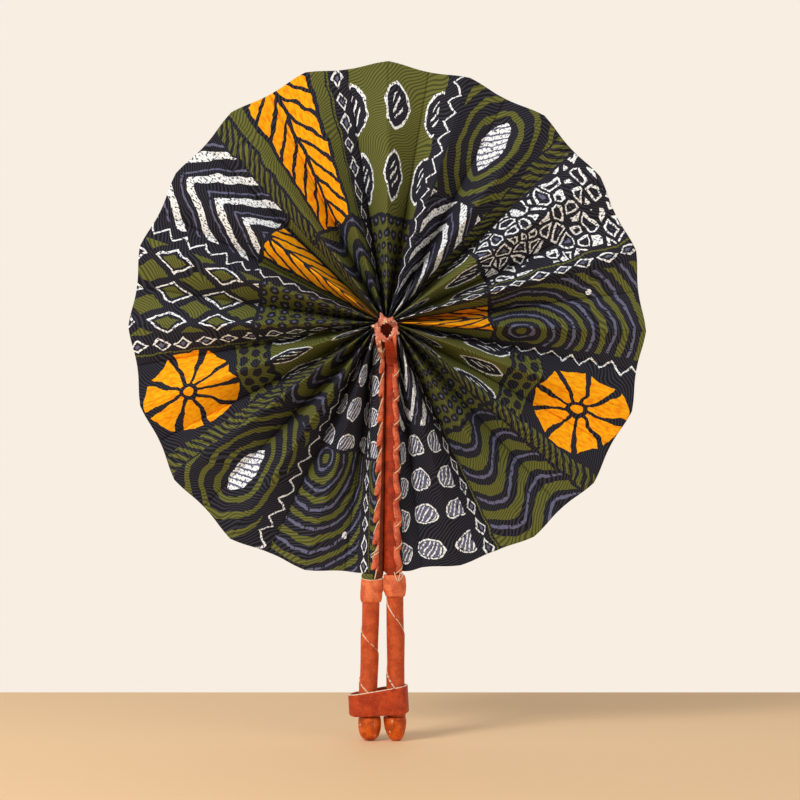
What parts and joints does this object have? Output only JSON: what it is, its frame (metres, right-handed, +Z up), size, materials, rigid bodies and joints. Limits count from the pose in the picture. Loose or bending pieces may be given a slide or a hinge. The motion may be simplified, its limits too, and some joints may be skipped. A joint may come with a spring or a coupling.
{
  "type": "folding cloth hand fan",
  "caption": "Folding hand fan whose pleated cloth leaf opens to a full disc round a leather hub, with two leather-covered stick handles held together by a loop.",
  "frame": {"origin": "centre of the bounding box in plan, at the bottoms of the two knobs", "axes": "+Z up from the knobs to the top of the open leaf, the leaf's printed front faces -Y, +X to the right seen from the front"},
  "size_m": [0.3656, 0.0304, 0.4707],
  "materials": {
    "cloth_print": "printed cotton, matt",
    "stick_wood": "plain wood",
    "leather_sleeve": "smooth red-brown leather",
    "leather_lacing": "orange leather with pale raw edges",
    "leather_collar": "tan leather",
    "leather_handle": "tan leather strip",
    "leather_knob": "orange-tan leather, worn",
    "leather_band": "deep red-brown leather",
    "leather_washer": "hand-cut leather",
    "sewing_cord": "waxed cord"
  },
  "bodies": {
    "right_guard": {"right_sleeve": "leather_sleeve", "right_stick": "stick_wood", "right_lacing": "leather_lacing", "right_collar": "leather_collar", "right_handle_wrap": "leather_handle", "right_knob": "leather_knob", "right_end_panel": "cloth_print", "hub_ring_front": "leather_washer", "hub_ring_back": "leather_washer", "gather_cord": "sewing_cord"},
    "fold_01": {"fold_01": "cloth_print"},
    "fold_02": {"fold_02": "cloth_print"},
    "fold_03": {"fold_03": "cloth_print"},
    "fold_04": {"fold_04": "cloth_print"},
    "fold_05": {"fold_05": "cloth_print"},
    "fold_06": {"fold_06": "cloth_print"},
    "fold_07": {"fold_07": "cloth_print"},
    "fold_08": {"fold_08": "cloth_print"},
    "fold_09": {"fold_09": "cloth_print"},
    "fold_10": {"fold_10": "cloth_print"},
    "fold_11": {"fold_11": "cloth_print"},
    "fold_12": {"fold_12": "cloth_print"},
    "fold_13": {"fold_13": "cloth_print"},
    "fold_14": {"fold_14": "cloth_print"},
    "fold_15": {"fold_15": "cloth_print"},
    "fold_16": {"fold_16": "cloth_print"},
    "fold_17": {"fold_17": "cloth_print"},
    "fold_18": {"fold_18": "cloth_print"},
    "fold_19": {"fold_19": "cloth_print"},
    "fold_20": {"fold_20": "cloth_print"},
    "fold_21": {"fold_21": "cloth_print"},
    "fold_22": {"fold_22": "cloth_print"},
    "fold_23": {"fold_23": "cloth_print"},
    "fold_24": {"fold_24": "cloth_print"},
    "fold_25": {"fold_25": "cloth_print"},
    "fold_26": {"fold_26": "cloth_print"},
    "fold_27": {"fold_27": "cloth_print"},
    "fold_28": {"fold_28": "cloth_print"},
    "fold_29": {"fold_29": "cloth_print"},
    "fold_30": {"fold_30": "cloth_print"},
    "fold_31": {"fold_31": "cloth_print"},
    "fold_32": {"fold_32": "cloth_print"},
    "fold_33": {"fold_33": "cloth_print"},
    "fold_34": {"fold_34": "cloth_print"},
    "fold_35": {"fold_35": "cloth_print"},
    "fold_36": {"fold_36": "cloth_print"},
    "fold_37": {"fold_37": "cloth_print"},
    "fold_38": {"fold_38": "cloth_print"},
    "fold_39": {"fold_39": "cloth_print"},
    "left_guard": {"left_sleeve": "leather_sleeve", "left_stick": "stick_wood", "left_lacing": "leather_lacing", "left_collar": "leather_collar", "left_handle_wrap": "leather_handle", "left_knob": "leather_knob", "left_end_panel": "cloth_print"},
    "closing_band": {"closing_band": "leather_band"}
  },
  "joints": [
    {"name": "leaf_close", "type": "hinge", "parent": "right_guard", "child": "fold_01", "pos_m": [0.00908, 0, 0.27392], "axis": [0.5951, 0.8026, 0.0419], "range_deg": [0, 6.38], "deforming": ["right_end_panel", "fold_01", "closing_band"]},
    {"name": "face_02", "type": "hinge", "parent": "fold_01", "child": "fold_02", "pos_m": [0.00822, 0.00002, 0.28405], "axis": [-0.6233, 0.7722, -0.1237], "range_deg": [0, 11.84], "deforming": ["fold_02"]},
    {"name": "face_03", "type": "hinge", "parent": "fold_02", "child": "fold_03", "pos_m": [0.00855, -0.00002, 0.28519], "axis": [0.5941, 0.7739, 0.2194], "range_deg": [0, 11.73], "deforming": ["fold_03"]},
    {"name": "face_04", "type": "hinge", "parent": "fold_03", "child": "fold_04", "pos_m": [0.0087, 0.00002, 0.28632], "axis": [-0.5524, 0.7735, -0.3108], "range_deg": [0, 11.75], "deforming": ["fold_04"]},
    {"name": "face_05", "type": "hinge", "parent": "fold_04", "child": "fold_05", "pos_m": [0.0087, -0.00002, 0.28744], "axis": [0.4967, 0.7731, 0.3945], "range_deg": [0, 11.76], "deforming": ["fold_05"]},
    {"name": "face_06", "type": "hinge", "parent": "fold_05", "child": "fold_06", "pos_m": [0.00855, 0.00002, 0.28851], "axis": [-0.4284, 0.7727, -0.4684], "range_deg": [0, 11.77], "deforming": ["fold_06"]},
    {"name": "face_07", "type": "hinge", "parent": "fold_06", "child": "fold_07", "pos_m": [0.00827, -0.00002, 0.28951], "axis": [0.3491, 0.7723, 0.5307], "range_deg": [0, 11.79], "deforming": ["fold_07"]},
    {"name": "face_08", "type": "hinge", "parent": "fold_07", "child": "fold_08", "pos_m": [0.00787, 0.00002, 0.29044], "axis": [-0.2608, 0.772, -0.5797], "range_deg": [0, 11.8], "deforming": ["fold_08"]},
    {"name": "face_09", "type": "hinge", "parent": "fold_08", "child": "fold_09", "pos_m": [0.00739, -0.00002, 0.29127], "axis": [0.1658, 0.7717, 0.614], "range_deg": [0, 11.81], "deforming": ["fold_09"]},
    {"name": "face_10", "type": "hinge", "parent": "fold_09", "child": "fold_10", "pos_m": [0.00682, 0.00002, 0.29201], "axis": [-0.0663, 0.7714, -0.6329], "range_deg": [0, 11.82], "deforming": ["fold_10"]},
    {"name": "face_11", "type": "hinge", "parent": "fold_10", "child": "fold_11", "pos_m": [0.00621, -0.00002, 0.29264], "axis": [-0.0349, 0.7711, 0.6357], "range_deg": [0, 11.83], "deforming": ["fold_11"]},
    {"name": "face_12", "type": "hinge", "parent": "fold_11", "child": "fold_12", "pos_m": [0.00556, 0.00001, 0.29318], "axis": [0.1354, 0.7709, -0.6224], "range_deg": [0, 11.84], "deforming": ["fold_12"]},
    {"name": "face_13", "type": "hinge", "parent": "fold_12", "child": "fold_13", "pos_m": [0.00488, -0.00001, 0.29362], "axis": [-0.2326, 0.7706, 0.5933], "range_deg": [0, 11.85], "deforming": ["fold_13"]},
    {"name": "face_14", "type": "hinge", "parent": "fold_13", "child": "fold_14", "pos_m": [0.00421, 0.00001, 0.29398], "axis": [0.324, 0.7704, -0.549], "range_deg": [0, 11.86], "deforming": ["fold_14"]},
    {"name": "face_15", "type": "hinge", "parent": "fold_14", "child": "fold_15", "pos_m": [0.00353, -0.00001, 0.29426], "axis": [-0.4072, 0.7703, 0.4907], "range_deg": [0, 11.86], "deforming": ["fold_15"]},
    {"name": "face_16", "type": "hinge", "parent": "fold_15", "child": "fold_16", "pos_m": [0.00286, 0.00001, 0.29448], "axis": [0.4802, 0.7701, -0.4199], "range_deg": [0, 11.87], "deforming": ["fold_16"]},
    {"name": "face_17", "type": "hinge", "parent": "fold_16", "child": "fold_17", "pos_m": [0.0022, -0.00001, 0.29463], "axis": [-0.5409, 0.77, 0.3383], "range_deg": [0, 11.87], "deforming": ["fold_17"]},
    {"name": "face_18", "type": "hinge", "parent": "fold_17", "child": "fold_18", "pos_m": [0.00156, 0, 0.29474], "axis": [0.5879, 0.7699, -0.248], "range_deg": [0, 11.87], "deforming": ["fold_18"]},
    {"name": "face_19", "type": "hinge", "parent": "fold_18", "child": "fold_19", "pos_m": [0.00093, 0, 0.29481], "axis": [-0.62, 0.7699, 0.1514], "range_deg": [0, 11.88], "deforming": ["fold_19"]},
    {"name": "face_20", "type": "hinge", "parent": "fold_19", "child": "fold_20", "pos_m": [0.00031, 0, 0.29485], "axis": [0.6362, 0.7699, -0.0509], "range_deg": [0, 11.88], "deforming": ["fold_20"]},
    {"name": "face_21", "type": "hinge", "parent": "fold_20", "child": "fold_21", "pos_m": [-0.00031, 0, 0.29485], "axis": [-0.6362, 0.7699, -0.0509], "range_deg": [0, 11.88], "deforming": ["fold_21"]},
    {"name": "face_22", "type": "hinge", "parent": "fold_21", "child": "fold_22", "pos_m": [-0.00093, 0, 0.29481], "axis": [0.62, 0.7699, 0.1514], "range_deg": [0, 11.88], "deforming": ["fold_22"]},
    {"name": "face_23", "type": "hinge", "parent": "fold_22", "child": "fold_23", "pos_m": [-0.00156, 0, 0.29474], "axis": [-0.5879, 0.7699, -0.248], "range_deg": [0, 11.87], "deforming": ["fold_23"]},
    {"name": "face_24", "type": "hinge", "parent": "fold_23", "child": "fold_24", "pos_m": [-0.0022, -0.00001, 0.29463], "axis": [0.5409, 0.77, 0.3383], "range_deg": [0, 11.87], "deforming": ["fold_24"]},
    {"name": "face_25", "type": "hinge", "parent": "fold_24", "child": "fold_25", "pos_m": [-0.00286, 0.00001, 0.29448], "axis": [-0.4802, 0.7701, -0.4199], "range_deg": [0, 11.87], "deforming": ["fold_25"]},
    {"name": "face_26", "type": "hinge", "parent": "fold_25", "child": "fold_26", "pos_m": [-0.00353, -0.00001, 0.29426], "axis": [0.4072, 0.7703, 0.4907], "range_deg": [0, 11.86], "deforming": ["fold_26"]},
    {"name": "face_27", "type": "hinge", "parent": "fold_26", "child": "fold_27", "pos_m": [-0.00421, 0.00001, 0.29398], "axis": [-0.324, 0.7704, -0.549], "range_deg": [0, 11.86], "deforming": ["fold_27"]},
    {"name": "face_28", "type": "hinge", "parent": "fold_27", "child": "fold_28", "pos_m": [-0.00488, -0.00001, 0.29362], "axis": [0.2326, 0.7706, 0.5933], "range_deg": [0, 11.85], "deforming": ["fold_28"]},
    {"name": "face_29", "type": "hinge", "parent": "fold_28", "child": "fold_29", "pos_m": [-0.00556, 0.00001, 0.29318], "axis": [-0.1354, 0.7709, -0.6224], "range_deg": [0, 11.84], "deforming": ["fold_29"]},
    {"name": "face_30", "type": "hinge", "parent": "fold_29", "child": "fold_30", "pos_m": [-0.00621, -0.00002, 0.29264], "axis": [0.0349, 0.7711, 0.6357], "range_deg": [0, 11.83], "deforming": ["fold_30"]},
    {"name": "face_31", "type": "hinge", "parent": "fold_30", "child": "fold_31", "pos_m": [-0.00682, 0.00002, 0.29201], "axis": [0.0663, 0.7714, -0.6329], "range_deg": [0, 11.82], "deforming": ["fold_31"]},
    {"name": "face_32", "type": "hinge", "parent": "fold_31", "child": "fold_32", "pos_m": [-0.00739, -0.00002, 0.29127], "axis": [-0.1658, 0.7717, 0.614], "range_deg": [0, 11.81], "deforming": ["fold_32"]},
    {"name": "face_33", "type": "hinge", "parent": "fold_32", "child": "fold_33", "pos_m": [-0.00787, 0.00002, 0.29044], "axis": [0.2608, 0.772, -0.5797], "range_deg": [0, 11.8], "deforming": ["fold_33"]},
    {"name": "face_34", "type": "hinge", "parent": "fold_33", "child": "fold_34", "pos_m": [-0.00827, -0.00002, 0.28951], "axis": [-0.3491, 0.7723, 0.5307], "range_deg": [0, 11.79], "deforming": ["fold_34"]},
    {"name": "face_35", "type": "hinge", "parent": "fold_34", "child": "fold_35", "pos_m": [-0.00855, 0.00002, 0.28851], "axis": [0.4284, 0.7727, -0.4684], "range_deg": [0, 11.77], "deforming": ["fold_35"]},
    {"name": "face_36", "type": "hinge", "parent": "fold_35", "child": "fold_36", "pos_m": [-0.0087, -0.00002, 0.28744], "axis": [-0.4967, 0.7731, 0.3945], "range_deg": [0, 11.76], "deforming": ["fold_36"]},
    {"name": "face_37", "type": "hinge", "parent": "fold_36", "child": "fold_37", "pos_m": [-0.0087, 0.00002, 0.28632], "axis": [0.5524, 0.7735, -0.3108], "range_deg": [0, 11.75], "deforming": ["fold_37"]},
    {"name": "face_38", "type": "hinge", "parent": "fold_37", "child": "fold_38", "pos_m": [-0.00855, -0.00002, 0.28519], "axis": [-0.5941, 0.7739, 0.2194], "range_deg": [0, 11.73], "deforming": ["fold_38"]},
    {"name": "face_39", "type": "hinge", "parent": "fold_38", "child": "fold_39", "pos_m": [-0.00822, 0.00002, 0.28405], "axis": [0.6233, 0.7722, -0.1237], "range_deg": [0, 11.84], "deforming": ["fold_39"]},
    {"name": "face_40", "type": "hinge", "parent": "fold_39", "child": "left_guard", "pos_m": [-0.00908, 0, 0.27392], "axis": [-0.5951, 0.8026, 0.0419], "range_deg": [0, 6.39], "deforming": ["left_end_panel"]},
    {"name": "band_slide", "type": "slide", "parent": "right_guard", "child": "closing_band", "axis": [0, 0, 1], "range_m": [-0.042, 0.055]}
  ],
  "couplings": [
    {"joint": "face_02", "follows": "leaf_close", "ratio": 1.8544},
    {"joint": "face_03", "follows": "leaf_close", "ratio": 1.8379},
    {"joint": "face_04", "follows": "leaf_close", "ratio": 1.8402},
    {"joint": "face_05", "follows": "leaf_close", "ratio": 1.8424},
    {"joint": "face_06", "follows": "leaf_close", "ratio": 1.8445},
    {"joint": "face_07", "follows": "leaf_close", "ratio": 1.8465},
    {"joint": "face_08", "follows": "leaf_close", "ratio": 1.8484},
    {"joint": "face_09", "follows": "leaf_close", "ratio": 1.8502},
    {"joint": "face_10", "follows": "leaf_close", "ratio": 1.8519},
    {"joint": "face_11", "follows": "leaf_close", "ratio": 1.8534},
    {"joint": "face_12", "follows": "leaf_close", "ratio": 1.8548},
    {"joint": "face_13", "follows": "leaf_close", "ratio": 1.8561},
    {"joint": "face_14", "follows": "leaf_close", "ratio": 1.8572},
    {"joint": "face_15", "follows": "leaf_close", "ratio": 1.8582},
    {"joint": "face_16", "follows": "leaf_close", "ratio": 1.859},
    {"joint": "face_17", "follows": "leaf_close", "ratio": 1.8596},
    {"joint": "face_18", "follows": "leaf_close", "ratio": 1.8601},
    {"joint": "face_19", "follows": "leaf_close", "ratio": 1.8605},
    {"joint": "face_20", "follows": "leaf_close", "ratio": 1.8606},
    {"joint": "face_21", "follows": "leaf_close", "ratio": 1.8606},
    {"joint": "face_22", "follows": "leaf_close", "ratio": 1.8605},
    {"joint": "face_23", "follows": "leaf_close", "ratio": 1.8601},
    {"joint": "face_24", "follows": "leaf_close", "ratio": 1.8596},
    {"joint": "face_25", "follows": "leaf_close", "ratio": 1.859},
    {"joint": "face_26", "follows": "leaf_close", "ratio": 1.8582},
    {"joint": "face_27", "follows": "leaf_close", "ratio": 1.8572},
    {"joint": "face_28", "follows": "leaf_close", "ratio": 1.8561},
    {"joint": "face_29", "follows": "leaf_close", "ratio": 1.8548},
    {"joint": "face_30", "follows": "leaf_close", "ratio": 1.8534},
    {"joint": "face_31", "follows": "leaf_close", "ratio": 1.8519},
    {"joint": "face_32", "follows": "leaf_close", "ratio": 1.8502},
    {"joint": "face_33", "follows": "leaf_close", "ratio": 1.8484},
    {"joint": "face_34", "follows": "leaf_close", "ratio": 1.8465},
    {"joint": "face_35", "follows": "leaf_close", "ratio": 1.8445},
    {"joint": "face_36", "follows": "leaf_close", "ratio": 1.8424},
    {"joint": "face_37", "follows": "leaf_close", "ratio": 1.8402},
    {"joint": "face_38", "follows": "leaf_close", "ratio": 1.8379},
    {"joint": "face_39", "follows": "leaf_close", "ratio": 1.8544},
    {"joint": "face_40", "follows": "leaf_close", "ratio": 1}
  ]
}
